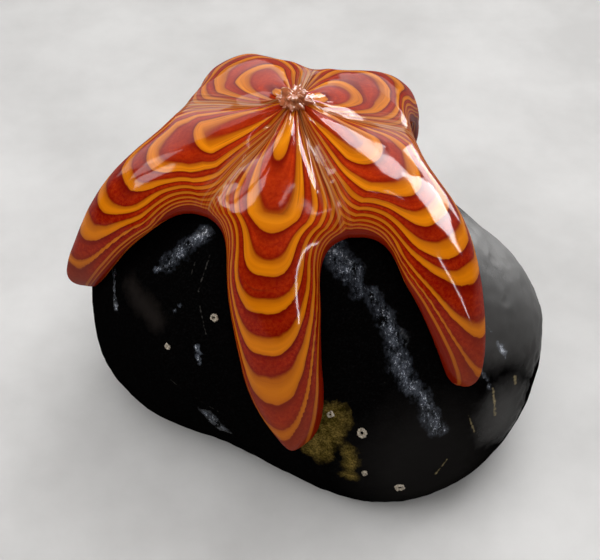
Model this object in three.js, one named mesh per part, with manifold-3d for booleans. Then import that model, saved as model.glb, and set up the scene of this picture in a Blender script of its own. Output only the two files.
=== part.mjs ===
// Hot-worked glass starfish lying over a black beach stone, its stand: five arms fall from a puckered crown.
// Millimetres, +Z up, the stone's flat bed on z = 0, the front arm towards -Y, the middle over the origin.
// The real glass is one piece: thin cuts part it into disc, crown and arms so that each can be named.
import * as THREE from "three";
import { ParametricGeometry } from "three/addons/geometries/ParametricGeometry.js";
import { mergeGeometries, mergeVertices } from "three/addons/utils/BufferGeometryUtils.js";
import Module from "manifold-3d";

const { clamp, degToRad, euclideanModulo, lerp, radToDeg, smoothstep } = THREE.MathUtils;

// ---------- driving dimensions (mm and degrees) ----------
const KNOT_HEIGHT = 144.5; // floor to the glass at the knot, where the arms meet
const GLASS_RISE = 11.5; // ridge of an arm above its rim
const GLASS_KEEL = 3; // underside below the rim
const RIM_ROLL = 9; // width over which the upper side rolls down to the rim
const KEEL_ROLL = 5; // the same for the underside
const VALLEY = 0.38; // share of the rise lost in the valleys that run into the knot
const VALLEY_FROM = 14; // distance from the knot at which a valley has its full depth
const SLOPE_STEP = 45; // length of arm between two named slopes
const SWAY_FROM = 35; // distance from the knot at which an arm starts to sway sideways
const BLEND = 34; // length over which an arm leaves the shape of the disc
const CUT = 0.3; // gap between two pieces
const CORNER_REACH = 3; // how far outside the crotches the cut round the disc turns its corners

// Each arm: where it points, its length, its sideways sway at the tip, its half-width at the disc and near
// the end, the length of its narrowing end, how that end tapers (0.5 is round, more is pointed), the
// distance from the knot to the crotch on its left, and its slope down at every SLOPE_STEP.
const ARMS = [
  { name: "arm_front", azimuth: 260, length: 139, sway: 13, half: [19, 14.5], tip: 34, taper: 0.5,
    crotch: 54, slopes: [8, 36, 71, 78] },
  { name: "arm_right", azimuth: 320, length: 136, sway: -10, half: [19, 17], tip: 80, taper: 0.75,
    crotch: 49, slopes: [9, 16, 57, 85] },
  { name: "arm_back_right", azimuth: 52, length: 125, sway: 6, half: [17.5, 12], tip: 34, taper: 0.5,
    crotch: 54, slopes: [17.5, 19, 65, 83] },
  { name: "arm_back_left", azimuth: 110, length: 127, sway: 0, half: [17.5, 14], tip: 34, taper: 0.5,
    crotch: 55, slopes: [11, 20, 55, 80] },
  { name: "arm_left", azimuth: 196, length: 128, sway: -8, half: [19, 17], tip: 80, taper: 0.7,
    crotch: 52, slopes: [15, 17, 61, 80] },
];

// The knob at the knot: radius and height above the glass up its outline, which stands in a round seat.
const CROWN = {
  outline: [
    [0, -2],
    [3.2, -2],
    [3.2, 0.1],
    [4.4, 0.7],
    [4.9, 1.6],
    [4.3, 2.6],
    [2.9, 3.1],
    [1.4, 2.7],
    [0, 2],
  ],
  pleats: 7,
  pleatDepth: 0.13,
  pleatedFrom: 1.5, // height at which the pleats are full
};

// The stone: an ellipsoid about a centre below the knot, blunter underneath, swollen and hollowed by broad
// lumps, and trimmed flat where it lies.
const STONE = {
  centre: new THREE.Vector3(7, -3.5, KNOT_HEIGHT - 97),
  half: [83, 66.5, 78.5],
  foot: 55, // depth below the centre before trimming
  footPower: 2.6, // 2 is an ellipsoid, more is squarer
  lumpTightness: 6,
  lumps: [
    { azimuth: 0, rise: -25, swell: -0.06 }, // tuck below the right end
    { azimuth: 40, rise: -25, swell: 0.13 }, // back right foot
    { azimuth: 120, rise: -25, swell: 0.05 }, // back left foot
    { azimuth: 180, rise: -25, swell: 0.1 }, // left end
    { azimuth: 240, rise: -25, swell: -0.1 }, // hollow below the left flank
    { azimuth: 270, rise: -25, swell: 0.05 }, // front foot
    { azimuth: 300, rise: -25, swell: 0.21 }, // front toe
    { azimuth: 330, rise: -25, swell: 0.08 }, // right foot
    { azimuth: 350, rise: 5, swell: 0.11 }, // right end
    { azimuth: 30, rise: 28, swell: -0.29 }, // worn right shoulder
    { azimuth: 90, rise: 28, swell: 0.25 }, // back shoulder
    { azimuth: 150, rise: 28, swell: 0.09 }, // left shoulder
    { azimuth: 270, rise: 28, swell: -0.13 }, // front slope
    { azimuth: 330, rise: 28, swell: 0.05 }, // right slope
  ],
};
// Barnacle scars: where each ring lies as seen from the stone's centre, and its size across.
const SCARS = [
  { azimuth: 232, rise: 34, across: 3.6 },
  { azimuth: 220, rise: 18, across: 2.8 },
  { azimuth: 275, rise: 7, across: 3.2 },
  { azimuth: 284, rise: 2, across: 4.8 },
  { azimuth: 284, rise: -11, across: 2.8 },
  { azimuth: 293, rise: -15.5, across: 5 },
];
// Radius and height of a scar's ring, as shares of half its size across; its foot is sunk in the stone.
const SCAR_RING = [
  [0.36, -0.5],
  [1, -0.5],
  [1, 0],
  [0.7, 0.25],
  [0.42, 0.12],
  [0.36, -0.5],
];

// Facets: rows along the disc and along an arm, columns across, and the stone's fineness.
const ROWS_DISC = 9;
const ROWS_ARM = 13;
const COLUMNS = 12;
const RIM_STEPS = 90; // steps along a rim when the distance to it is measured
const STONE_DETAIL = 8;

const GLASS_COLOUR = 0xb5480f;
const STONE_COLOUR = 0x0c0c0e;

// ---------- solids and directions ----------
const wasm = await Module();
wasm.setup();

// A closed geometry as a solid, its doubled vertices merged and its empty triangles dropped.
function solidOf(geometry) {
  const bare = geometry.clone();
  bare.deleteAttribute("normal");
  bare.deleteAttribute("uv");
  const merged = mergeVertices(bare, 1e-4);
  const triangles = [];
  for (let i = 0; i < merged.index.count; i += 3) {
    const [a, b, c] = [0, 1, 2].map((corner) => merged.index.getX(i + corner));
    if (a !== b && b !== c && c !== a) triangles.push(a, b, c);
  }
  return new wasm.Manifold(
    new wasm.Mesh({
      numProp: 3,
      vertProperties: merged.attributes.position.array,
      triVerts: new Uint32Array(triangles),
    }),
  );
}

// Moves every vertex of a geometry by a function that changes the vector it is given.
function shape(geometry, change) {
  const position = geometry.attributes.position;
  const point = new THREE.Vector3();
  for (let i = 0; i < position.count; i++) {
    change(point.fromBufferAttribute(position, i));
    position.setXYZ(i, point.x, point.y, point.z);
  }
  return geometry;
}

const Y_UP_TO_Z_UP = new THREE.Matrix4().makeBasis(
  new THREE.Vector3(0, 1, 0), // the geometry classes' X is the part's Y
  new THREE.Vector3(0, 0, 1), // their Y, the axis of a turned shape, is the part's Z
  new THREE.Vector3(1, 0, 0), // their Z is the part's X
);

function heading(azimuth, rise = 0) {
  const direction = new THREE.Vector3().setFromSphericalCoords(1, degToRad(90 - rise), degToRad(azimuth));
  return direction.applyMatrix4(Y_UP_TO_Z_UP);
}

// ---------- plan of the star: x along an arm from the knot, y to its left ----------
const beside = (k, side) => euclideanModulo(k + side, ARMS.length);

// Half the angle to the next arm on one side (+1 left, -1 right), and where the crotch lies on the line
// halfway between the two.
function wedge(k, side) {
  const right = side > 0 ? k : beside(k, -1);
  const gap = euclideanModulo(ARMS[beside(right, 1)].azimuth - ARMS[right].azimuth, 360);
  const half = degToRad(gap / 2);
  const crotch = ARMS[right].crotch;
  return { half, crotch, x: crotch * Math.cos(half), y: crotch * Math.sin(half) };
}

// Half-width of the arm alone, from its base to its tip.
function armHalf(k, x) {
  const { length, half, tip, taper } = ARMS[k];
  const tipStart = length - tip;
  const width = lerp(half[0], half[1], clamp(x / tipStart, 0, 1) ** 1.5);
  const intoTip = clamp((x - tipStart) / tip, 0, 1);
  return width * (1 - intoTip ** 2) ** taper;
}

// Half-width on one side with the arm's share of the disc and the fillet of the crotch.
function halfWidth(k, side, x) {
  const crotch = wedge(k, side);
  if (x < crotch.x) return x * Math.tan(crotch.half);
  const spare = crotch.y - armHalf(k, crotch.x);
  return armHalf(k, x) + spare * Math.exp(-(x - crotch.x) / (spare * Math.tan(crotch.half)));
}

// The outer edge of each arm's own wedge and of the wedges beside it, as paths in the arm's plan.
const rimPaths = ARMS.map((arm, k) =>
  [-1, 1].flatMap((side) => {
    const other = beside(k, side);
    const turn = degToRad(ARMS[other].azimuth - arm.azimuth);
    const own = [];
    const next = [];
    for (let i = 0; i <= RIM_STEPS; i++) {
      const out = Math.sin((i / RIM_STEPS) * (Math.PI / 2));
      const x = lerp(wedge(k, side).x, arm.length, out);
      own.push(new THREE.Vector2(x, side * halfWidth(k, side, x)));
      const nextX = lerp(wedge(other, -side).x, ARMS[other].length, i / RIM_STEPS / 2);
      const rim = new THREE.Vector2(nextX, -side * halfWidth(other, -side, nextX));
      next.push(rim.rotateAround(new THREE.Vector2(), turn));
    }
    return [own, next];
  }),
);

// How far a point of arm k's plan lies inside the rim of the star.
function insetFromRim(k, x, y) {
  let least = Infinity;
  for (const path of rimPaths[k]) {
    for (let i = 1; i < path.length; i++) {
      const dx = path[i].x - path[i - 1].x;
      const dy = path[i].y - path[i - 1].y;
      const ax = x - path[i - 1].x;
      const ay = y - path[i - 1].y;
      const along = clamp((ax * dx + ay * dy) / (dx * dx + dy * dy + 1e-12), 0, 1);
      least = Math.min(least, Math.hypot(ax - along * dx, ay - along * dy));
    }
  }
  return least;
}

// ---------- the hanging sheet that the glass is built on ----------
// Slopes at an azimuth between two arms, eased from one arm's own to the other's.
function slopesAt(azimuth) {
  const k = ARMS.findIndex((arm, i) => {
    const gap = euclideanModulo(ARMS[beside(i, 1)].azimuth - arm.azimuth, 360);
    return euclideanModulo(azimuth - arm.azimuth, 360) <= gap;
  });
  const next = ARMS[beside(k, 1)];
  const gap = euclideanModulo(next.azimuth - ARMS[k].azimuth, 360);
  const share = smoothstep(euclideanModulo(azimuth - ARMS[k].azimuth, 360), 0, gap);
  return ARMS[k].slopes.map((slope, i) => lerp(slope, next.slopes[i], share));
}

// Distance out and down after so many mm along a chain of three arcs.
function fall(length, slopes) {
  let out = 0;
  let down = 0;
  for (let i = 0; i < 3; i++) {
    const most = i < 2 ? SLOPE_STEP : Infinity;
    const span = clamp(length - i * SLOPE_STEP, 0, most);
    const halfTurn = (degToRad(slopes[i + 1] - slopes[i]) / SLOPE_STEP) * (span / 2);
    const chord = Math.abs(halfTurn) < 1e-9 ? span : (span * Math.sin(halfTurn)) / halfTurn;
    out += chord * Math.cos(degToRad(slopes[i]) + halfTurn);
    down += chord * Math.sin(degToRad(slopes[i]) + halfTurn);
  }
  return { out, down };
}

// A point of the sheet, knot at the origin: the disc falls away all round, and each arm leaves it as a strip.
function sheet(k, x, y) {
  const arm = ARMS[k];
  const azimuth = arm.azimuth + radToDeg(Math.atan2(y, x));
  const disc = fall(Math.hypot(x, y), slopesAt(azimuth));
  const point = heading(azimuth).multiplyScalar(disc.out).setZ(-disc.down);
  const strip = fall(x, arm.slopes);
  const sideways = y + arm.sway * Math.max(0, (x - SWAY_FROM) / (arm.length - SWAY_FROM)) ** 2;
  const limb = heading(arm.azimuth).multiplyScalar(strip.out).setZ(-strip.down);
  limb.addScaledVector(heading(arm.azimuth + 90), sideways);
  const leaves = Math.max(wedge(k, 1).x, wedge(k, -1).x);
  return point.lerp(limb, smoothstep(x, leaves, leaves + BLEND));
}

function sheetNormal(k, x, y) {
  if (x === 0) return new THREE.Vector3(0, 0, 1);
  const step = Math.min(0.5, x / 2);
  const along = sheet(k, x + step, y).sub(sheet(k, x - step, y));
  const across = sheet(k, x, y + step).sub(sheet(k, x, y - step));
  return along.cross(across).normalize();
}

// ---------- the glass ----------
const roll = (inset, width) => Math.sqrt(1 - (1 - Math.min(inset / width, 1)) ** 2);

// The rim, or the line between two arms on the disc, at a row from the knot (0) to the tip.
function edgeAt(k, side, row) {
  if (row === ROWS_DISC + ROWS_ARM) return { x: ARMS[k].length, y: 0 };
  const crotch = wedge(k, side);
  if (row <= ROWS_DISC) {
    const share = Math.sin((row / ROWS_DISC) * (Math.PI / 2)); // rows close up at the crotch
    return { x: crotch.x * share, y: side * crotch.y * share };
  }
  const t = (row - ROWS_DISC) / ROWS_ARM;
  const eased = lerp(t, (1 - Math.cos(Math.PI * t)) / 2, 0.8); // and at the tip
  const x = lerp(crotch.x, ARMS[k].length, eased);
  return { x, y: side * halfWidth(k, side, x) };
}

// A point of the glass: v runs from -1, the arm's right edge, over its ridge to 1, its left.
function glassPoint(k, row, v, upper) {
  if (v === -1 && row <= ROWS_DISC) return glassPoint(beside(k, -1), row, 1, upper);
  const right = edgeAt(k, -1, row);
  const left = edgeAt(k, 1, row);
  const edge = v < 0 ? right : left;
  const ridgeX = (right.x + left.x) / 2;
  const x = lerp(ridgeX, edge.x, Math.abs(v) ** 1.5);
  const y = Math.abs(v) * edge.y;
  const atRim = row === ROWS_DISC + ROWS_ARM || (Math.abs(v) === 1 && row >= ROWS_DISC);
  const inset = atRim ? 0 : insetFromRim(k, x, y);
  const round = lerp(0.3, 1, smoothstep(x, 0, 40)); // from a crease at the knot to a saddle at the crotch
  const dip = VALLEY * smoothstep(x, 0, VALLEY_FROM) * v * v * (1 + round * (1 - v * v));
  const above = GLASS_RISE * (1 - (1 - dip) * roll(inset, RIM_ROLL));
  const depth = upper ? above : GLASS_RISE + GLASS_KEEL * roll(inset, KEEL_ROLL);
  return sheet(k, x, y).addScaledVector(sheetNormal(k, x, y), -depth);
}

function glassSide(k, upper) {
  const rows = ROWS_DISC + ROWS_ARM;
  const place = (along, across, target) => {
    const column = Math.round(across * COLUMNS);
    const v = Math.sin(Math.PI * (column / COLUMNS - 0.5)); // columns close up at the rims
    target.copy(glassPoint(k, Math.round(along * rows), upper ? v : -v, upper));
  };
  return new ParametricGeometry(place, rows, COLUMNS);
}

function starSolid() {
  const sides = ARMS.flatMap((arm, k) => [glassSide(k, true), glassSide(k, false)]);
  return solidOf(mergeGeometries(sides)).translate([0, 0, KNOT_HEIGHT]);
}

// A turned knob whose outline is drawn in and out by the pleats.
function crownSolid() {
  const outline = CROWN.outline.map(([radius, height]) => new THREE.Vector2(radius, height));
  const knob = new THREE.LatheGeometry(outline, CROWN.pleats * 4).applyMatrix4(Y_UP_TO_Z_UP);
  shape(knob, (point) => {
    const turn = Math.atan2(point.y, point.x);
    const depth = CROWN.pleatDepth * smoothstep(point.z, 0, CROWN.pleatedFrom);
    const drawn = 1 + depth * Math.cos(CROWN.pleats * turn);
    point.setX(point.x * drawn).setY(point.y * drawn);
  });
  return solidOf(knob).translate([0, 0, KNOT_HEIGHT]);
}

function crownSeat() {
  const [radius, bottom] = CROWN.outline[1];
  const seat = new THREE.CylinderGeometry(radius + CUT, radius + CUT, GLASS_RISE, 4 * CROWN.pleats);
  const middle = KNOT_HEIGHT + bottom - CUT + GLASS_RISE / 2;
  return solidOf(seat.applyMatrix4(Y_UP_TO_Z_UP)).translate([0, 0, middle]);
}

// Five-sided cutter whose corners lie just outside the crotches: it parts the disc from the arms.
function discCutter(grown) {
  const corners = ARMS.map((arm, k) => {
    const crotch = wedge(k, 1);
    const corner = sheet(k, crotch.x, crotch.y).setZ(0);
    return corner.setLength(corner.length() + CORNER_REACH + grown / Math.cos(Math.PI / ARMS.length));
  });
  const plan = new THREE.Shape(corners.map((corner) => new THREE.Vector2(corner.x, corner.y)));
  return solidOf(new THREE.ExtrudeGeometry(plan, { depth: 2 * KNOT_HEIGHT, bevelEnabled: false }));
}

// ---------- the stone ----------
function stoneRadius(direction) {
  const [a, b, c] = STONE.half;
  const across = Math.hypot(direction.x / a, direction.y / b);
  const power = direction.z < 0 ? STONE.footPower : 2;
  const upright = Math.abs(direction.z) / (direction.z < 0 ? STONE.foot : c);
  let scale = 1;
  for (const { azimuth, rise, swell } of STONE.lumps) {
    scale += swell * Math.exp(STONE.lumpTightness * (direction.dot(heading(azimuth, rise)) - 1));
  }
  return scale * (across ** power + upright ** power) ** (-1 / power);
}

function stonePoint(direction, grown = 0) {
  return direction.clone().multiplyScalar(stoneRadius(direction) + grown).add(STONE.centre);
}

function stoneSolid(grown = 0) {
  const ball = new THREE.IcosahedronGeometry(1, STONE_DETAIL);
  shape(ball, (point) => point.copy(stonePoint(point.normalize(), grown)));
  return solidOf(ball);
}

// A low ring with an open middle, standing on the stone along its outward direction.
function scarSolid({ azimuth, rise, across }) {
  const around = stonePoint(heading(azimuth + 2, rise)).sub(stonePoint(heading(azimuth - 2, rise)));
  const up = stonePoint(heading(azimuth, rise + 2)).sub(stonePoint(heading(azimuth, rise - 2)));
  const outwards = around.cross(up).normalize();
  const turn = new THREE.Quaternion().setFromUnitVectors(new THREE.Vector3(0, 1, 0), outwards);
  const size = new THREE.Vector3().setScalar(across / 2);
  const outline = SCAR_RING.map(([radius, height]) => new THREE.Vector2(radius, height));
  const ring = new THREE.LatheGeometry(outline, 10);
  ring.applyMatrix4(new THREE.Matrix4().compose(stonePoint(heading(azimuth, rise)), turn, size));
  return solidOf(ring);
}

// ---------- the pieces ----------
function stonePiece() {
  const bed = stoneSolid().trimByPlane([0, 0, 1], 0);
  return SCARS.reduce((stone, scar) => stone.add(scarSolid(scar)), bed);
}

function middleAzimuth(solid) {
  const { min, max } = solid.boundingBox();
  return radToDeg(Math.atan2(min[1] + max[1], min[0] + max[0]));
}

function armPieces(star) {
  const limbs = star.subtract(discCutter(CUT / 2)).decompose();
  return ARMS.map((arm) => {
    const off = (limb) => Math.abs(euclideanModulo(middleAzimuth(limb) - arm.azimuth + 180, 360) - 180);
    const limb = limbs.reduce((best, other) => (off(other) < off(best) ? other : best));
    return { name: arm.name, solid: limb, color: GLASS_COLOUR };
  });
}

function pieces() {
  const star = starSolid().subtract(stoneSolid(CUT));
  const disc = star.intersect(discCutter(-CUT / 2)).subtract(crownSeat());
  return [
    { name: "stone", solid: stonePiece(), color: STONE_COLOUR },
    { name: "star_disc", solid: disc, color: GLASS_COLOUR },
    { name: "star_crown", solid: crownSolid(), color: GLASS_COLOUR },
    ...armPieces(star),
  ];
}

function meshOf({ name, solid, color }, shift) {
  const { vertProperties, triVerts } = solid.getMesh();
  const geometry = new THREE.BufferGeometry();
  geometry.setAttribute("position", new THREE.BufferAttribute(vertProperties, 3));
  geometry.setIndex(new THREE.BufferAttribute(triVerts, 1));
  geometry.translate(shift.x, shift.y, 0);
  geometry.computeVertexNormals();
  const material = new THREE.MeshStandardMaterial({ color, roughness: 0.1, metalness: 0 });
  const mesh = new THREE.Mesh(geometry, material);
  mesh.name = name;
  return mesh;
}

// The whole part, moved so that the middle of its width and depth is over the origin.
function sculpture() {
  const made = pieces();
  const whole = new THREE.Box3();
  for (const { solid } of made) {
    const { min, max } = solid.boundingBox();
    whole.union(new THREE.Box3(new THREE.Vector3(...min), new THREE.Vector3(...max)));
  }
  const shift = whole.getCenter(new THREE.Vector3()).negate();
  const group = new THREE.Group();
  group.add(...made.map((piece) => meshOf(piece, shift)));
  return group;
}

export default sculpture();
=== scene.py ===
"""A hot-worked glass starfish that hangs over a black beach stone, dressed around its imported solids.

One glass skin takes the place of the disc and the five arms, a gather of folds takes the place of the
crown, and a pitted stone takes the place of the plain one. Sizes are in millimetres until a mesh is done.
"""
import math

import bmesh
import bpy
import numpy as np
from mathutils import Matrix, Vector, noise


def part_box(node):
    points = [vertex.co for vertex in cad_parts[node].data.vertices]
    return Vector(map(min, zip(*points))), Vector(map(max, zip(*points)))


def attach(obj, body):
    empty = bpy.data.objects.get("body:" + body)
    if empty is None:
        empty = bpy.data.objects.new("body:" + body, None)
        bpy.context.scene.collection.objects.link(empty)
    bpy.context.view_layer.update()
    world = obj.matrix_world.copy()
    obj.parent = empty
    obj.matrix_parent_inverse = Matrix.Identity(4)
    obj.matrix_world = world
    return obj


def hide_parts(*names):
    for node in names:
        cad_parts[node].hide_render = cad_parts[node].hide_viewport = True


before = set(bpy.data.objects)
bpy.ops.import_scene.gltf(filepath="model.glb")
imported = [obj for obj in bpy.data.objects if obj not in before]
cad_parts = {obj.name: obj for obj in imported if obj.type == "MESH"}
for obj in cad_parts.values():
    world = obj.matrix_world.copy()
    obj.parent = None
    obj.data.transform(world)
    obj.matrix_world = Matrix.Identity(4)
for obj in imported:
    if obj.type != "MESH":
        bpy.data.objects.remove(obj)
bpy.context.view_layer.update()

MM = 0.001

# ---------- sizes, the same as the solids have ----------
GLASS_RISE = 11.5  # how far the glass stands above its rim
GLASS_KEEL = 3  # how far its underside bulges below the rim
RIM_ROLL = 9  # how far in from the rim the upper side rounds over
KEEL_ROLL = 5  # the same for the underside
VALLEY = 0.38  # depth of the valleys between the arms, as a share of the rise
VALLEY_FROM = 14  # distance from the knot by which they are that deep
SLOPE_STEP = 45  # length of each of the first two arcs that an arm falls along
SWAY_FROM = 35  # distance from the knot where an arm begins to bend sideways
BLEND = 34  # length over which an arm leaves the form of the disc
CROWN_FOOT = 2  # depth of the crown's foot below the glass
CLEAR = 0.35  # gap between glass and stone
FAR = 1e9  # further than anything reaches

ARM_NODES = ["arm_front", "arm_right", "arm_back_right", "arm_back_left", "arm_left"]
# In the same order, each arm's azimuth, length, sway of its tip, half-widths near the disc and near the tip,
# length and fullness of the tip, distance of the crotch on its left, and slopes where its arcs meet.
ARMS = [
    dict(azimuth=260, length=139, sway=13, half=(19, 14.5), tip=34, taper=0.5, crotch=54,
         slopes=(8, 36, 71, 78)),
    dict(azimuth=320, length=136, sway=-10, half=(19, 17), tip=80, taper=0.75, crotch=49,
         slopes=(9, 16, 57, 85)),
    dict(azimuth=52, length=125, sway=6, half=(17.5, 12), tip=34, taper=0.5, crotch=54,
         slopes=(17.5, 19, 65, 83)),
    dict(azimuth=110, length=127, sway=0, half=(17.5, 14), tip=34, taper=0.5, crotch=55,
         slopes=(11, 20, 55, 80)),
    dict(azimuth=196, length=128, sway=-8, half=(19, 17), tip=80, taper=0.7, crotch=52,
         slopes=(15, 17, 61, 80)),
]

STONE_CENTRE = Vector((7, -3.5, -97))  # from the knot
STONE_HALF = (83, 66.5, 78.5)  # half its width, half its depth, and its height above the centre
STONE_FOOT = 55  # its depth below the centre
STONE_FOOT_POWER = 2.6  # how square its lower half is: 2 is round
LUMP_TIGHTNESS = 6  # the higher, the smaller the area that a lump takes up
LUMPS = [  # azimuth, rise, swell as a share of the radius
    (0, -25, -0.06), (40, -25, 0.13), (120, -25, 0.05), (180, -25, 0.1), (240, -25, -0.1), (270, -25, 0.05),
    (300, -25, 0.21), (330, -25, 0.08), (350, 5, 0.11), (30, 28, -0.29), (90, 28, 0.25), (150, 28, 0.09),
    (270, 28, -0.13), (330, 28, 0.05),
]
SCARS = [  # azimuth, rise, size across
    (232, 34, 3.6), (220, 18, 2.8), (275, 7, 3.2), (284, 2, 4.8), (284, -11, 2.8), (293, -15.5, 5),
]

# Swells and creases in the glass: azimuth and distance from the knot of both ends, half-width, height.
SWELLS = [
    ((289, 35), (286, 41), 4.0, 0.9), ((294, 33), (307, 45), 1.8, 0.5), ((284, 10), (283, 34), 1.1, -0.7),
    ((228, 26), (232, 34), 3.5, 0.6), ((222, 12), (229, 27), 1.2, -0.5), ((330, 14), (336, 34), 2.0, 0.4),
]
# Low crests worn into the stone: their line in azimuth and rise, height, and half-width.
CRESTS = [
    ([(288, 57), (296, 37), (302, 14), (303, 3), (300, -8)], 1.3, 7),
    ([(216, 52), (211, 39), (206, 24)], 0.8, 5),
    ([(192, 30), (190, 5), (200, -12)], 0.7, 5),
]
# Marks on the stone, each from one azimuth and rise to another, with its half-width: an olive stain, limy
# scratches, and streaks that shine, with bright glints painted into their colour. The hairline cracks are all
# equally fine.
STAINS = [((275, 6), (271, -6), 7.5), ((280, -5), (280.5, -13), 4)]
SCRATCHES = [
    ((320, 7), (319.5, -1), 0.7), ((312, 3), (313, -3), 0.4), ((327, 6), (327, 4), 0.9),
    ((305, -8), (302, -12), 0.35),
]
CRACKS = [
    ((287, 16), (294, 18)), ((294, 18), (301, 20)), ((213, 54), (219, 41)), ((220, 52), (224, 38)),
    ((224, 38), (231, 28)), ((198, 38), (200, 31)), ((240, -4), (222, 6)),
]
CRACK_HALF_WIDTH = 0.22
SHINY_STREAKS_WITH_PAINTED_GLINTS = [
    ((278, 62), (285, 55), 6), ((285, 55), (289, 48), 4), ((294, 46), (298, 32), 4),
    ((298, 31), (297, 23), 5), ((298, 19), (301, 13), 4.5), ((301, 13), (304, 2), 4),
    ((214, 53), (209, 39), 3.5), ((232, -5), (238, -12), 3), ((192, 26), (199, 16), 1.2),
    ((220, 32), (219, 30), 1), ((208, 37), (207, 36), 1.2), ((229, 22), (230, 18), 1),
    ((318, 14), (319, 8), 1.2), ((324, 24), (326, 13), 1),
]
# Larger areas of the stone: azimuth and rise of the middle or of both ends, radius, width of the soft edge.
DRY_SHOULDER = (341, 25, 39, 16)
DRY_FOOT = (322, -2, 17, 12)
# A darker grey patch low on the front-right of the stone.
GREY_FOOT_PATCH = (300, -9, 36, 22)
# A flat facet on the left whose lighter grey is a painted sheen.
PAINTED_SHEEN_FACET = ((203, 26), (214, 24), 7, 6)

# ---------- the glass skin's fineness ----------
ROWS = 116  # from the knot to a tip
DISC_SHARE = 0.4  # share of the rows that lie on the disc
COLUMNS = 48  # across an arm
EVENNESS = 0.2  # share of even spacing in the rows, which otherwise close up at the crotch and the tip
RIM_STEPS = 220  # points along a rim, from which distances to it are taken
WELD = 0.012  # points of two grids that are this near are one
SAME_POINT = 0.001  # points of one mesh that are this near are one

# ---------- the pattern in the glass ----------
MARKS = ("ring", "valley", "along", "crowd")  # what the mesh tells its finish at each point
# Amber rings: where each begins and ends along an arm's ridge, as shares of its length. Ring levels count
# them: a whole number in the middle of a ring, a half in the middle of the red between two.
RINGS = [
    [
        (0.05, 0.182), (0.318, 0.366), (0.429, 0.469), (0.525, 0.562), (0.625, 0.677), (0.737, 0.817),
        (0.894, 0.919),
    ],
    [
        (0.21, 0.27), (0.345, 0.40), (0.44, 0.485), (0.53, 0.585), (0.618, 0.665), (0.775, 0.815),
        (0.91, 0.93),
    ],
    [(0.05, 0.11), (0.205, 0.248), (0.365, 0.398), (0.46, 0.51), (0.60, 0.66), (0.72, 0.78), (0.85, 0.88)],
    [(0.05, 0.10), (0.25, 0.288), (0.365, 0.40), (0.45, 0.50), (0.57, 0.62), (0.67, 0.73), (0.80, 0.83)],
    [(0.26, 0.293), (0.395, 0.435), (0.483, 0.515), (0.580, 0.625), (0.675, 0.745), (0.840, 0.870)],
]
RING_HALF = 0.25  # levels from the middle of a ring to its edge
KNOT_LEVEL = -0.6  # at the knot
LEAN = [-0.38, 0.35, -0.3, 0.3, 0.0]  # how far the rings lean to the left at each tip, in half-widths
KNOT_LEAN = [-0.2, 0.0, -0.35, 0.35, 0.06]  # the same for the loops near the knot
LOOPS_STRAIGHTEN = (10, 42)  # distances from the knot between which that lean is lost
LEAN_FROM = 45  # distance from the knot where the rings begin to lean
SADDLE_LEVEL = [4.5, 4.2, 4.2, 4.1, 4.0]  # between each arm and the one on its left
RIM_LEVEL = 13.5  # at the rim of the disc
RIM_REACH = 26  # how far in from the rim of the disc the rings still follow it
RIM_CROWDING = 3.6  # how much faster the levels climb near a rim
DRAW = 95  # how far back along an arm its rings are drawn at the rim
CROWDED = (0.16, 0.6)  # levels to a millimetre where the rings begin to blur, and where they are blurred
LOOP_POINT = 2.2  # how pointed the loops on the disc are
VALLEY_FADES = (26, 64)  # distances from the knot between which the valleys' own colour fades
LEAVES_DISC = (42, 70)  # distances from the knot between which the disc's rings give way to the arm's


# ---------- the hanging sheet of glass, knot at the origin ----------
def knot():
    """The knot, in millimetres: the middle of the crown's round foot, which lies below the glass."""
    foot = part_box("star_crown")[0].z
    ring = np.array([v.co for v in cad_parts["star_crown"].data.vertices if v.co.z < foot + 1e-5])
    middle = (ring.min(0) + ring.max(0)) / 2 / MM
    return Vector((middle[0], middle[1], middle[2] + CROWN_FOOT))


def beside(k, side):
    return (k + side) % len(ARMS)


def smooth(value, low, high):
    t = np.clip((np.asarray(value, float) - low) / (high - low), 0, 1)
    return t * t * (3 - 2 * t)


def heading(azimuth, rise=0.0):
    a, e = np.radians(azimuth), np.radians(rise)
    flat = np.cos(e) * np.ones_like(a)
    return np.stack([flat * np.cos(a), flat * np.sin(a), np.sin(e) * np.ones_like(a)], -1)


def wedge(k, side):
    """Half the angle to the next arm on one side, and the crotch between them in this arm's plan."""
    right = k if side > 0 else beside(k, -1)
    gap = (ARMS[beside(right, 1)]["azimuth"] - ARMS[right]["azimuth"]) % 360
    half = math.radians(gap / 2)
    crotch = ARMS[right]["crotch"]
    return half, crotch * math.cos(half), crotch * math.sin(half)


def arm_half(k, x):
    near, far = ARMS[k]["half"]
    tip, taper = ARMS[k]["tip"], ARMS[k]["taper"]
    start = ARMS[k]["length"] - tip
    into_tip = np.clip((x - start) / tip, 0, 1)
    return (near + (far - near) * np.clip(x / start, 0, 1) ** 1.5) * (1 - into_tip**2) ** taper


def half_width(k, side, x):
    """Half-width of an arm beyond the crotch, with the crotch's fillet."""
    half, crotch_x, crotch_y = wedge(k, side)
    spare = crotch_y - arm_half(k, np.float64(crotch_x))
    return arm_half(k, x) + spare * np.exp(-(x - crotch_x) / (spare * math.tan(half)))


def rim_paths(k):
    paths = []
    for side in (-1, 1):
        other = beside(k, side)
        turn = math.radians(ARMS[other]["azimuth"] - ARMS[k]["azimuth"])
        out = np.linspace(0, 1, RIM_STEPS)
        x = wedge(k, side)[1] + (ARMS[k]["length"] - wedge(k, side)[1]) * np.sin(out * math.pi / 2)
        paths.append(np.stack([x, side * half_width(k, side, x)], 1))
        x = wedge(other, -side)[1] + (ARMS[other]["length"] - wedge(other, -side)[1]) * out / 2
        y = -side * half_width(other, -side, x)
        cos, sin = math.cos(turn), math.sin(turn)
        paths.append(np.stack([x * cos - y * sin, x * sin + y * cos], 1))
    return paths


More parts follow.
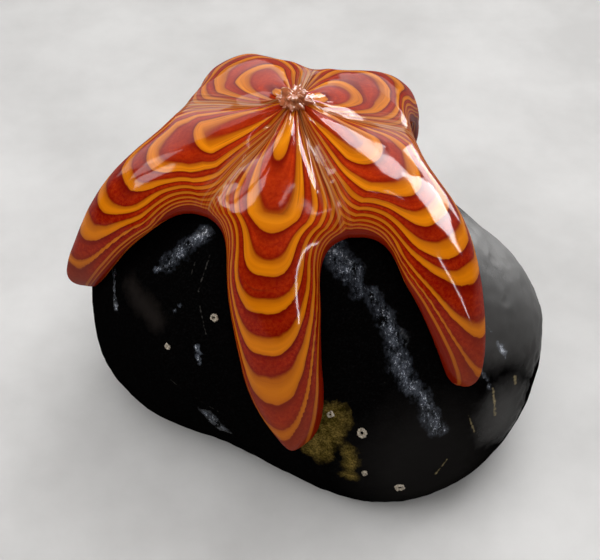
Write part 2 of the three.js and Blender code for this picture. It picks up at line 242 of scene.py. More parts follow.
def inset_from_rim(k, x, y):
    """How far points of an arm's plan lie inside the rim of the star."""
    least = np.full(x.shape, FAR)
    for path in rim_paths(k):
        for (ax, ay), (bx, by) in zip(path[:-1], path[1:]):
            dx, dy = bx - ax, by - ay
            along = np.clip(((x - ax) * dx + (y - ay) * dy) / (dx * dx + dy * dy + 1e-12), 0, 1)
            least = np.minimum(least, np.hypot(x - ax - along * dx, y - ay - along * dy))
    return least


def slopes_at(azimuth):
    """The four slopes at azimuths between two arms, eased from one arm's own to the other's."""
    slopes = np.zeros((4,) + azimuth.shape)
    for k, arm in enumerate(ARMS):
        after = ARMS[beside(k, 1)]
        gap = (after["azimuth"] - arm["azimuth"]) % 360
        turn = (azimuth - arm["azimuth"]) % 360
        share = smooth(turn, 0, gap)
        for i in range(4):
            between = arm["slopes"][i] + (after["slopes"][i] - arm["slopes"][i]) * share
            slopes[i] = np.where(turn <= gap, between, slopes[i])
    return slopes


def fall(length, slopes):
    """Distance out and down after so many millimetres along a chain of three arcs."""
    out, down = np.zeros_like(length), np.zeros_like(length)
    for i in range(3):
        span = np.clip(length - i * SLOPE_STEP, 0, SLOPE_STEP if i < 2 else FAR)
        half_turn = np.radians(slopes[i + 1] - slopes[i]) / SLOPE_STEP * span / 2
        chord = span * np.sinc(half_turn / math.pi)
        out = out + chord * np.cos(np.radians(slopes[i]) + half_turn)
        down = down + chord * np.sin(np.radians(slopes[i]) + half_turn)
    return out, down


def sheet(k, x, y):
    arm = ARMS[k]
    azimuth = arm["azimuth"] + np.degrees(np.arctan2(y, x))
    out, down = fall(np.hypot(x, y), slopes_at(azimuth))
    disc = heading(azimuth) * out[:, None]
    disc[:, 2] = -down
    out, down = fall(x, [np.full_like(x, slope) for slope in arm["slopes"]])
    sideways = y + arm["sway"] * np.maximum(0, (x - SWAY_FROM) / (arm["length"] - SWAY_FROM)) ** 2
    limb = heading(arm["azimuth"]) * out[:, None] + heading(arm["azimuth"] + 90) * sideways[:, None]
    limb[:, 2] = -down
    leaves = max(wedge(k, 1)[1], wedge(k, -1)[1])
    share = smooth(x, leaves, leaves + BLEND)[:, None]
    return disc * (1 - share) + limb * share


def sheet_normal(k, x, y):
    step = np.minimum(0.5, np.maximum(x / 2, 1e-4))
    along = sheet(k, x + step, y) - sheet(k, x - step, y)
    across = sheet(k, x, y + step) - sheet(k, x, y - step)
    normal = np.cross(along, across)
    normal /= np.linalg.norm(normal, axis=1)[:, None]
    normal[x < 1e-6] = (0, 0, 1)
    return normal


def roll(inset, width):
    return np.sqrt(1 - (1 - np.minimum(inset / width, 1)) ** 2)


# ---------- the stone's form, from its own centre ----------
def stone_radius(directions):
    a, b, c = STONE_HALF
    across = np.hypot(directions[:, 0] / a, directions[:, 1] / b)
    below = directions[:, 2] < 0
    power = np.where(below, STONE_FOOT_POWER, 2.0)
    upright = np.abs(directions[:, 2]) / np.where(below, STONE_FOOT, c)
    scale = np.ones(len(directions))
    for azimuth, rise, swell in LUMPS:
        scale += swell * np.exp(LUMP_TIGHTNESS * (directions @ heading(azimuth, rise) - 1))
    return scale * (across**power + upright**power) ** (-1 / power)


def on_stone(azimuth, rise):
    """A point on the stone, knot at the origin, and the direction outwards there."""
    spots = np.array([heading(azimuth + a, rise + r) for a, r in ((0, 0), (2, 0), (-2, 0), (0, 2), (0, -2))])
    here, east, west, up, down = spots * stone_radius(spots)[:, None]
    outwards = Vector(np.cross(east - west, up - down)).normalized()
    return Vector(here) + STONE_CENTRE, outwards


def lift_off_stone(points):
    """Moves points that are too near the stone outwards, away from its centre."""
    from_centre = points - np.array(STONE_CENTRE)
    distance = np.linalg.norm(from_centre, axis=1)
    directions = from_centre / distance[:, None]
    wanted = np.maximum(distance, stone_radius(directions) + CLEAR)
    return directions * wanted[:, None] + np.array(STONE_CENTRE)


# ---------- the glass skin ----------
def edge_of(k, side, t):
    """The rim, or the line between two arms on the disc, at shares t of the way from the knot to the tip."""
    crotch_x, crotch_y = wedge(k, side)[1:]
    on_disc = t <= DISC_SHARE + 1e-9
    near = np.clip(t / DISC_SHARE, 0, 1)
    share = EVENNESS * near + (1 - EVENNESS) * np.sin(near * math.pi / 2)
    far = np.clip((t - DISC_SHARE) / (1 - DISC_SHARE), 0, 1)
    eased = EVENNESS * far + (1 - EVENNESS) * (1 - np.cos(math.pi * far)) / 2
    x = np.where(on_disc, crotch_x * share, crotch_x + (ARMS[k]["length"] - crotch_x) * eased)
    y = np.where(on_disc, crotch_y * share, half_width(k, side, np.maximum(x, crotch_x)))
    return x, side * np.where(t >= 1 - 1e-9, 0, y)


def folds(points):
    """Fine pleats that run into the knot from all round, deepest a little way out."""
    out = np.hypot(points[:, 0], points[:, 1])
    turn = np.arctan2(points[:, 1], points[:, 0])
    wave = 0.5 * np.sin(17 * turn + 1.1) + 0.35 * np.sin(28 * turn + 2.3 + out / 5)
    wave += 0.2 * np.sin(43 * turn + out / 3)
    return wave * smooth(out, 1, 5) * (1 - smooth(out, 6, 20))


def swells(points):
    """Ridges and creases where the soft glass gathered between two arms."""
    raised = np.zeros(len(points))
    for start, end, half_width, height in SWELLS:
        start, end = (distance * heading(azimuth) for azimuth, distance in (start, end))
        run = end - start
        along = np.clip((points - start) @ run / (run @ run), 0, 1)
        away = np.linalg.norm((points - start - along[:, None] * run)[:, :2], axis=1)
        raised += height * np.exp(-((away / half_width) ** 2))
    return raised


def ripples(points):
    """Slow waves that hot working leaves in the glass."""
    return 0.3 * np.array([noise.noise(Vector(p) / 15) + 0.4 * noise.noise(Vector(p) / 6) for p in points])


def ring_levels(k, x, v, inset):
    """Ring levels over an arm, and how deep in a valley each point lies, from 0 to 1.

    The levels make loops round the knot, arches at the crotches, and rings drawn back at the arm's rims.
    """
    places, counts = [0, *np.ravel(RINGS[k]), 1.0, 3.0], [KNOT_LEVEL]
    for number in range(len(RINGS[k])):
        counts += [number - RING_HALF, number + RING_HALF]
    counts += [counts[-1] + 0.3, counts[-1] + 12]
    length = ARMS[k]["length"]
    quarter = 0.9 * math.pi / 2 * (RIM_ROLL + GLASS_RISE) / 2  # length of the rim's round, about a quarter oval
    rolled = np.arccos(np.clip(1 - inset / RIM_ROLL, 0, 1)) / (math.pi / 2) * quarter
    over = rolled + np.maximum(0, inset - RIM_ROLL)

    axis = KNOT_LEAN[k] * (1 - smooth(x, *LOOPS_STRAIGHTEN))
    pull = np.clip(np.abs(v - axis) / (1 - axis * np.sign(v - axis)), 0, 1) ** LOOP_POINT
    saddle = np.where(v > axis, SADDLE_LEVEL[k], SADDLE_LEVEL[beside(k, -1)])
    ridge = np.interp(x / length, places, counts)
    loops = ridge + (saddle - ridge) * pull
    on_disc = loops + (RIM_LEVEL - loops) * (1 - np.clip(over / RIM_REACH, 0, 1)) ** RIM_CROWDING

    middle = over[:, COLUMNS // 2][:, None] + 1e-6
    lean = LEAN[k] * np.clip((x - LEAN_FROM) / (length - LEAN_FROM), 0, 1)
    aside = np.sign(v) * (1 - over / middle) - lean
    aside = np.clip(np.abs(aside) / (1 - lean * np.sign(aside)), 0, 1)
    on_arm = np.interp((x + DRAW * aside**RIM_CROWDING) / length, places, counts)
    share = smooth(x, *LEAVES_DISC)
    return on_disc * (1 - share) + on_arm * share, pull * (1 - smooth(x, *VALLEY_FADES))


def glass_lattice(k):
    """Upper and lower points of one arm with its share of the disc, and the marks at each."""
    columns = np.sin(math.pi / 2 * np.linspace(-1, 1, COLUMNS + 1))
    t, v = np.meshgrid(np.linspace(0, 1, ROWS + 1), columns, indexing="ij")
    right_x, right_y = edge_of(k, -1, t)
    left_x, left_y = edge_of(k, 1, t)
    edge_x, edge_y = np.where(v < 0, right_x, left_x), np.where(v < 0, right_y, left_y)
    ridge_x = (right_x + left_x) / 2
    x = ridge_x + (edge_x - ridge_x) * np.abs(v) ** 1.5
    y = np.abs(v) * edge_y
    flat_x, flat_y = x.ravel(), y.ravel()
    at_rim = ((np.abs(v) > 1 - 1e-9) & (t >= DISC_SHARE - 1e-9)) | (t >= 1 - 1e-9)
    inset = np.where(at_rim, 0, inset_from_rim(k, flat_x, flat_y).reshape(x.shape))
    crease = 0.3 + 0.7 * smooth(x, 0, 40)
    dip = VALLEY * smooth(x, 0, VALLEY_FROM) * v * v * (1 + crease * (1 - v * v))
    rolled = roll(inset, RIM_ROLL)
    base = sheet(k, flat_x, flat_y)
    normal = sheet_normal(k, flat_x, flat_y)
    relief = (folds(base) + swells(base) + ripples(base)) * rolled.ravel()
    above = GLASS_RISE * (1 - (1 - dip) * rolled).ravel() - relief
    below = (GLASS_RISE + GLASS_KEEL * roll(inset, KEEL_ROLL)).ravel()
    upper = base - normal * above[:, None]
    lower = lift_off_stone(base - normal * below[:, None])
    at_edge = at_rim.ravel()
    lower[at_edge] = upper[at_edge] = lift_off_stone(upper[at_edge])
    levels, valley = ring_levels(k, x, v, inset)
    along = x / ARMS[k]["length"]
    marks = zip(levels.flat, valley.flat, along.flat, crowding(levels, upper).flat)
    return upper, lower, [tuple(float(value) for value in values) for values in marks]


def crowding(levels, points):
    """0 where the rings stand well apart, 1 where they crowd together until they blur."""
    points = np.reshape(points, levels.shape + (3,))
    rates = []
    for axis in (0, 1):
        step = np.linalg.norm(np.gradient(points, axis=axis), axis=-1)
        rates.append(np.gradient(levels, axis=axis) / np.maximum(step, 0.3))
    return smooth(np.hypot(*rates), *CROWDED)


def add_side(bm, points, marks, layers):
    """One side of one arm: a flat grid laid over its points, with the marks that its finish reads."""
    made = bmesh.ops.create_grid(bm, x_segments=ROWS, y_segments=COLUMNS, size=1)["verts"]
    made.sort(key=lambda vert: (round(vert.co.x, 5), round(vert.co.y, 5)))
    for vert, point, values in zip(made, points, marks):
        vert.co = point
        for layer, value in zip(layers, values):
            vert[layer] = value


def glass_skin():
    bm = bmesh.new()
    layers = mark_layers(bm)
    for k in range(len(ARMS)):
        upper, lower, marks = glass_lattice(k)
        add_side(bm, upper, marks, layers)
        add_side(bm, lower, marks, layers)
    bmesh.ops.remove_doubles(bm, verts=bm.verts, dist=WELD)
    bmesh.ops.dissolve_degenerate(bm, edges=bm.edges, dist=SAME_POINT)
    bmesh.ops.recalc_face_normals(bm, faces=bm.faces)
    return piece_of(bm, "glass_skin")


def mark_layers(bm):
    return [bm.verts.layers.float.new(name) for name in MARKS]


# ---------- making a piece ----------
KNOT = knot()


def piece_of(bm, name):
    """Turns a mesh in millimetres about the knot into an object in metres at the origin."""
    bmesh.ops.transform(bm, matrix=Matrix.Scale(MM, 4) @ Matrix.Translation(KNOT), verts=bm.verts)
    for face in bm.faces:
        face.smooth = True
    return object_of(bm, name)


def object_of(bm, name):
    mesh = bpy.data.meshes.new(name)
    bm.to_mesh(mesh)
    bm.free()
    made = bpy.data.objects.new(name, mesh)
    bpy.context.scene.collection.objects.link(made)
    return made


def dress(piece, finish, slot, *nodes):
    """Gives a piece its finish and its body, and hides the solids that it takes the place of. The slot is not
    used.
    """
    piece.data.materials.append(finish)
    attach(piece, "root")
    if nodes:
        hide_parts(*nodes)


def spin_outline(bm, outline, steps):
    """A skin of revolution about the vertical, from a line of radii and heights."""
    verts = [bm.verts.new((radius, 0, height)) for radius, height in outline]
    edges = [bm.edges.new(pair) for pair in zip(verts[:-1], verts[1:])]
    bmesh.ops.spin(
        bm, geom=verts + edges, cent=(0, 0, 0), axis=(0, 0, 1), angle=math.tau, steps=steps, use_merge=True
    )
    bmesh.ops.remove_doubles(bm, verts=bm.verts, dist=SAME_POINT)


# ---------- the crown ----------
CROWN_OUTLINE = [  # radius, height
    (5.6, -0.5), (4.7, 0.4), (3.8, 1.0), (3.3, 1.7), (3.5, 2.3), (3.2, 2.9), (2.4, 3.3), (1.6, 3.1),
    (0.8, 2.5), (0, 2.2),
]


def crown_gather():
    """A ragged knob of pinched folds: an outline spun round the knot, then drawn in and out and twisted."""
    bm = bmesh.new()
    spin_outline(bm, CROWN_OUTLINE, 112)
    bmesh.ops.subdivide_edges(bm, edges=bm.edges, cuts=1, use_grid_fill=True)
    ring_layer, valley_layer, *_ = mark_layers(bm)
    for vert in bm.verts:
        turn = math.atan2(vert.co.y, vert.co.x) + 0.5 * vert.co.z / 3
        out = math.hypot(vert.co.x, vert.co.y)
        around = Vector((math.cos(turn), math.sin(turn), 0.12 * vert.co.z))
        pinch = noise.noise(around * 2.6) + 0.7 * noise.noise(around * 5.5 + Vector((9, 0, 0)))
        crinkle = noise.noise(around * 12 + Vector((0, 5, 0)))
        lump = noise.noise(vert.co * 0.4 + Vector((3, 3, 0)))
        drawn = 1 + (0.45 * pinch + 0.2 * crinkle) * min(1, out / 3) + 0.3 * lump
        vert.co.x *= drawn
        vert.co.y *= drawn
        vert.co.z += (0.9 * lump + 0.8 * pinch + 0.3 * crinkle) * min(1, out / 2)
        vert[ring_layer] = 0.5 + 0.3 * crinkle
        vert[valley_layer] = 0.35 + 0.7 * pinch
    bmesh.ops.recalc_face_normals(bm, faces=bm.faces)
    return piece_of(bm, "crown_gather")


# ---------- the stone ----------
def crests(directions):
    """How far the stone's crests stand proud in each direction."""
    proud = np.zeros(len(directions))
    for line, height, half_width in CRESTS:
        away = np.full(len(directions), FAR)
        spots = [heading(*place) for place in line]
        for start, end in zip(spots[:-1], spots[1:]):
            run = end - start
            along = np.clip((directions - start) @ run / (run @ run), 0, 1)
            away = np.minimum(away, np.linalg.norm(directions - start - along[:, None] * run, axis=1))
        proud = np.maximum(proud, height * (1 - smooth(away * STONE_HALF[2] / half_width, 0, 1)))
    return proud


def stone_skin():
    bm = bmesh.new()
    bmesh.ops.create_icosphere(bm, subdivisions=7, radius=1)
    directions = np.array([vert.co.normalized() for vert in bm.verts])
    radii = stone_radius(directions)
    for vert, direction, radius, proud in zip(bm.verts, directions, radii, crests(directions)):
        place = Vector(direction) * radius
        wear = 0.6 * noise.noise(place / 14) + 0.25 * noise.noise(place / 4)
        pit = max(0, noise.noise(place / 2.2 + Vector((50, 0, 0))) - 0.28)
        vert.co = place + Vector(direction) * (min(0.25, wear - 0.35 + proud) - 1.2 * pit) + STONE_CENTRE
    bed = Vector((0, 0, -KNOT.z))
    whole = bm.verts[:] + bm.edges[:] + bm.faces[:]
    cut = bmesh.ops.bisect_plane(bm, geom=whole, plane_co=bed, plane_no=(0, 0, -1), clear_outer=True)
    rim = [edge for edge in cut["geom_cut"] if isinstance(edge, bmesh.types.BMEdge)]
    bmesh.ops.contextual_create(bm, geom=rim)
    bmesh.ops.recalc_face_normals(bm, faces=bm.faces)
    return piece_of(bm, "stone_skin")


SCAR_SIZE = 0.43  # what 1 in the outline stands for, as a share of a scar's size across
SCAR_OUTLINE = [  # radius, height
    (0.2, -0.3), (0.34, 0.02), (0.42, 0.16), (0.55, 0.3), (0.72, 0.26), (0.9, 0.08), (1.02, -0.25),
]


def barnacle_scar(number, azimuth, rise, across):
    """The limy ring that a barnacle leaves: a low wall with plates, open in the middle."""
    bm = bmesh.new()
    spin_outline(bm, SCAR_OUTLINE, 48)
    bmesh.ops.holes_fill(bm, edges=[edge for edge in bm.edges if edge.is_boundary], sides=0)
    for vert in bm.verts:
        turn = math.atan2(vert.co.y, vert.co.x)
        around = Vector((math.cos(turn), math.sin(turn), number))
        plates = 1 + 0.3 * noise.noise(around * 1.3) + 0.2 * noise.noise(around * 4)
        plates += 0.15 * noise.noise(vert.co * 3)
        vert.co.x *= plates
        vert.co.y *= plates
        vert.co.z += 0.12 * noise.noise(vert.co * 4 + Vector((0, number, 0)))
    place, outwards = on_stone(azimuth, rise)
    turn = Vector((0, 0, 1)).rotation_difference(outwards).to_matrix().to_4x4()
    stand = Matrix.Translation(place) @ turn @ Matrix.Scale(across * SCAR_SIZE, 4)
    bmesh.ops.transform(bm, matrix=stand, verts=bm.verts)
    bmesh.ops.recalc_face_normals(bm, faces=bm.faces)
    return piece_of(bm, f"barnacle_scar_{number}")


# ---------- finishes ----------
def add(tree, kind, inputs=None, **settings):
    """A node of a kind, with its settings, its constants, and links from other nodes' outputs."""
    node = tree.nodes.new("ShaderNode" + kind)
    for name, value in settings.items():
        setattr(node, name, value)
    for socket, value in (inputs or {}).items():
        set_input(tree, node.inputs[socket], value)
    return node


def set_input(tree, socket, value):
    """A constant for a socket, or a link from another node's output."""
    if isinstance(value, bpy.types.NodeSocket):
        tree.links.new(value, socket)
    else:
        socket.default_value = value


def sums(tree, operation, *values):
    return add(tree, "Math", dict(enumerate(values)), operation=operation).outputs[0]


def times(tree, first, second):
    return sums(tree, "MULTIPLY", first, second)


def times_plus(tree, first, second, third):
    return sums(tree, "MULTIPLY_ADD", first, second, third)


def most(tree, strongest, *others):
    """The strongest of several marks at each point."""
    for other in others:
        strongest = sums(tree, "MAXIMUM", strongest, other)
    return strongest


def vectors(tree, operation, first, second):
    """A measure of two vectors, or a vector made from them."""
    node = add(tree, "VectorMath", {0: first, 1: second}, operation=operation)
    return node.outputs["Value" if operation in ("DISTANCE", "DOT_PRODUCT") else "Vector"]


def mixed(tree, share, first, second):
    return add(tree, "Mix", {0: share, 6: first, 7: second}, data_type="RGBA").outputs[2]


def ramp(tree, value, stops):
    """A ramp from a list of (place, grey or colour)."""
    node = add(tree, "ValToRGB", {0: value})
    points = node.color_ramp.elements
    while len(points) < len(stops):
        points.new(1)
    for point, (place, colour) in zip(points, stops):
        point.position = place
        point.color = colour if isinstance(colour, tuple) else (colour, colour, colour, 1)
    return node.outputs[0]


def cloud(tree, where, size, detail, roughness=0.5):
    """Noise whose patches are about so many millimetres across."""
    inputs = {"Vector": where, "Scale": 1 / (size * MM), "Detail": detail, "Roughness": roughness}
    return add(tree, "TexNoise", inputs).outputs["Fac"]


def bump(tree, height, strength, depth):
    """A bump whose full height is so many millimetres."""
    return add(tree, "Bump", {"Strength": strength, "Distance": depth * MM, "Height": height}).outputs[0]


def new_finish(name):
    finish = bpy.data.materials.new(name)
    finish.use_nodes = True
    tree = finish.node_tree
    tree.nodes.clear()
    shader = add(tree, "BsdfPrincipled")
    add(tree, "OutputMaterial", {"Surface": shader.outputs[0]})
    where = add(tree, "TexCoord").outputs["Object"]
    return finish, tree, shader, where


def set_shader(tree, shader, **inputs):
    for name, value in inputs.items():
        set_input(tree, shader.inputs[name.replace("_", " ")], value)


# ---------- the glass's finish ----------
RED = (0.33, 0.006, 0.001, 1)
ORANGE_RED = (0.56, 0.045, 0.004, 1)
HOT_ORANGE = (0.60, 0.05, 0.004, 1)
DARK_RED = (0.13, 0.002, 0.0006, 1)
RIM_RED_AND_SHADE = (0.17, 0.006, 0.001, 1)
AMBER = (0.66, 0.185, 0.002, 1)
PALE_AMBER = (0.78, 0.25, 0.006, 1)
DEEP_AMBER = (0.52, 0.135, 0.002, 1)
BURNT_AMBER = (0.36, 0.075, 0.003, 1)
BLURRED_AMBER = (0.42, 0.105, 0.008, 1)
PAINTED_HAZE_MAUVE = (0.20, 0.04, 0.016, 1)
GATHER_TAN_AND_SHEEN = (0.50, 0.21, 0.09, 1)
VALLEY_TAN = (0.36, 0.19, 0.08, 1)
VALLEY_BROWN = (0.33, 0.085, 0.010, 1)
VALLEY_DARK = (0.06, 0.015, 0.006, 1)
THREAD_SCALE = 40  # fineness of the noise along the threads
STREAK_SCALE = 26  # fineness of the noise round the knot


def threads(tree, where, level, count, seed):
    """Threads drawn along the rings, so many to a ring: noise that changes slowly along a ring."""
    across = times_plus(tree, level, count / THREAD_SCALE, seed)
    inputs = {"Vector": where, "W": across, "Scale": THREAD_SCALE, "Detail": 2}
    return add(tree, "TexNoise", inputs, noise_dimensions="4D").outputs["Fac"]


def valley_streaks(tree, where):
    """Fine streaks that run out from the knot."""
    from_knot = vectors(tree, "SUBTRACT", where, tuple(KNOT * MM))
    x, y, _ = add(tree, "SeparateXYZ", {0: from_knot}).outputs
    turn = sums(tree, "ARCTAN2", y, x)
    inputs = {"W": turn, "Scale": STREAK_SCALE, "Detail": 4}
    return add(tree, "TexNoise", inputs, noise_dimensions="1D").outputs["Fac"]


def ring_colour(tree, level, grain, thread, patches, crowd, on_disc):
    """Amber rings with a dark outer edge on granular red, from the ring level."""
    # 0 at a ring's outer edge, 0.5 at the inner edge of the next ring out
    past = sums(tree, "FRACT", sums(tree, "SUBTRACT", level, RING_HALF))
    amber = ramp(tree, past, [(0, 1), (0.018, 0), (0.485, 0), (0.565, 1)])
    inner = ramp(tree, past, [(0.5, 1), (0.61, 0.65), (0.75, 0.1), (0.9, 0.1), (1, 0.6)])
    dark_border = ramp(tree, past, [(0, 1), (0.035, 1), (0.16, 0.25), (0.3, 0.0), (0.42, 0.15), (0.49, 0.65)])
    strands = ramp(tree, thread, [(0.36, 0), (0.64, 1)])
    stranded = times_plus(tree, on_disc, 0.65, 0.3)

    red = mixed(tree, grain, RED, ORANGE_RED)
    red = mixed(tree, times(tree, on_disc, 0.5), red, HOT_ORANGE)
    red = mixed(tree, times(tree, patches, 0.4), red, DARK_RED)
    red = mixed(tree, times_plus(tree, on_disc, -0.4, 0.4), red, DARK_RED)
    red = mixed(tree, times(tree, dark_border, 0.85), red, DARK_RED)
    red = mixed(tree, times(tree, strands, times(tree, stranded, 0.55)), red, DARK_RED)

    yellow = ramp(tree, thread, [(0.34, DEEP_AMBER), (0.5, AMBER), (0.66, PALE_AMBER)])
    yellow = mixed(tree, stranded, AMBER, yellow)
    yellow = mixed(tree, inner, yellow, BURNT_AMBER)
    yellow = mixed(tree, times(tree, crowd, 0.8), yellow, BLURRED_AMBER)
    return mixed(tree, amber, red, yellow)


def glass_finish(name, gloss, tan_and_sheen=0):
    """Glass that is coloured by the marks in its mesh, and tinted pale tan by a share: partly the gather's own
    tan, partly a painted sheen.
    """
    finish, tree, shader, where = new_finish(name)
    marks = [add(tree, "Attribute", attribute_name=mark).outputs["Fac"] for mark in MARKS]
    level, valley, along, crowd = marks
    on_disc = ramp(tree, along, [(0.2, 1), (0.6, 0)])
    wobble = times_plus(tree, cloud(tree, where, 5, 3), 0.4, cloud(tree, where, 22, 2))
    wobble = sums(tree, "SUBTRACT", wobble, 0.7)
    wobble = times(tree, wobble, times_plus(tree, on_disc, -0.17, 0.24))
    level = sums(tree, "ADD", level, wobble)
    grain = ramp(tree, cloud(tree, where, 1.2, 5, 0.7), [(0.38, 0), (0.64, 1)])
    patches = ramp(tree, cloud(tree, where, 9, 3, 0.6), [(0.3, 0), (0.7, 1)])
    colour = ring_colour(tree, level, grain, threads(tree, where, level, 6, 0), patches, crowd, on_disc)

    fine = ramp(tree, threads(tree, where, level, 14, 3), [(0.62, 0), (0.75, 1)])
    colour = mixed(tree, times(tree, fine, times_plus(tree, on_disc, 0.45, 0.15)), colour, VALLEY_DARK)

    streaks = valley_streaks(tree, where)
    earth = ramp(tree, streaks, [(0.37, VALLEY_DARK), (0.46, VALLEY_BROWN), (0.6, VALLEY_TAN)])
    in_streaks = ramp(tree, streaks, [(0.35, 1), (0.47, 0.5), (0.6, 1)])
    muddy = times(tree, ramp(tree, valley, [(0.3, 0), (0.9, 0.9)]), in_streaks)
    colour = mixed(tree, muddy, colour, earth)

    # Painted reflection haze: towards their tips the arms are washed with mauve.
    colour = mixed(tree, ramp(tree, along, [(0.68, 0), (0.96, 0.55)]), colour, PAINTED_HAZE_MAUVE)
    # Deeper red near the rims: partly the glass's own deeper red, partly painted shade on the rims, which turn
    # away from the light.
    at_rim = ramp(tree, sums(tree, "DIVIDE", level, 10), [(0.70, 0), (0.76, 0.95)])
    colour = mixed(tree, at_rim, colour, RIM_RED_AND_SHADE)
    # A pale tan, partly the gathered glass's own colour and partly a painted sheen.
    if tan_and_sheen:
        colour = mixed(tree, tan_and_sheen, colour, GATHER_TAN_AND_SHEEN)
    skin = times_plus(tree, cloud(tree, where, 0.9, 2), 0.25, cloud(tree, where, 4, 2))
    normal = bump(tree, skin, 0.3, 0.12)
    set_shader(tree, shader, Base_Color=colour, Roughness=0.3, Specular_IOR_Level=0.0, Normal=normal)
    set_shader(tree, shader, Coat_Weight=gloss, Coat_Roughness=0.09, Coat_IOR=1.5, Coat_Normal=normal)
    return finish


# ---------- the stone's finish ----------
STONE_BLACK = (0.0012, 0.001, 0.001, 1)
STONE_SPECK = (0.01, 0.01, 0.0105, 1)
PAINTED_SHEEN_GREY = (0.0115, 0.0095, 0.0085, 1)
FOOT_PATCH_GREY = (0.012, 0.0112, 0.0105, 1)
DRY_GREY = (0.052, 0.050, 0.048, 1)
DARK_OLIVE = (0.050, 0.036, 0.005, 1)
PALE_OLIVE = (0.24, 0.165, 0.040, 1)
CRACK_GREY = (0.07, 0.066, 0.06, 1)
SCRATCH_LIME = (0.34, 0.27, 0.14, 1)
PAINTED_GLINT_BLUE = (0.17, 0.195, 0.25, 1)
PAINTED_GLINT_WHITE = (0.62, 0.66, 0.73, 1)
FAR_SIDE_BLOTCHES = 80  # how far noise from 0 to 1 moves the far side's edge
FAR_SIDE_FROM = 50  # depth where the far side begins, with about half of that added
FAR_SIDE_WHOLE = 90  # the same for where it is all far side
TEAR = 1.5  # how far noise from 0 to 1 moves a ragged edge, as a share of its raggedness


def within(tree, torn, distance, radius, soft, ragged):
    """1 where a distance is well under a radius and 0 beyond it, with a soft and ragged edge between."""
    ragged_distance = times_plus(tree, torn, ragged * MM * TEAR, distance)
    edge = radius + ragged * TEAR / 2
    limits = {1: edge * MM, 2: (edge - soft) * MM, 3: 0, 4: 1}
    return add(tree, "MapRange", {0: ragged_distance, **limits}).outputs[0]


def patch(tree, where, torn, azimuth, rise, radius, soft):
    """A round patch about a place on the stone, with a torn edge: 1 inside, 0 outside."""
    place = (on_stone(azimuth, rise)[0] + KNOT) * MM
    distance = vectors(tree, "DISTANCE", where, tuple(place))
    return within(tree, torn, distance, radius, soft, 6)


def streak(tree, where, torn, start, end, radius, soft, ragged):
    """The same for a straight mark from one place on the stone to another."""
    start, end = ((on_stone(*place)[0] + KNOT) * MM for place in (start, end))
    run = end - start
    from_start = vectors(tree, "SUBTRACT", where, tuple(start))
    along = vectors(tree, "DOT_PRODUCT", from_start, tuple(run / run.length_squared))
    along = add(tree, "Clamp", {0: along}).outputs[0]
    nearest = add(tree, "VectorMath", {0: tuple(run), "Scale": along}, operation="SCALE").outputs[0]
    distance = vectors(tree, "DISTANCE", from_start, nearest)
    return within(tree, torn, distance, radius, soft, ragged)


def far_side_of(tree, where, blotches):
    """The stone's back, with a blotchy edge: 1 there, 0 in front."""
    depth = add(tree, "SeparateXYZ", {0: where}).outputs[1]
    blotchy_depth = times_plus(tree, blotches, FAR_SIDE_BLOTCHES * MM, depth)
    limits = {1: FAR_SIDE_FROM * MM, 2: FAR_SIDE_WHOLE * MM, 3: 0, 4: 1}
    return add(tree, "MapRange", {0: blotchy_depth, **limits}).outputs[0]


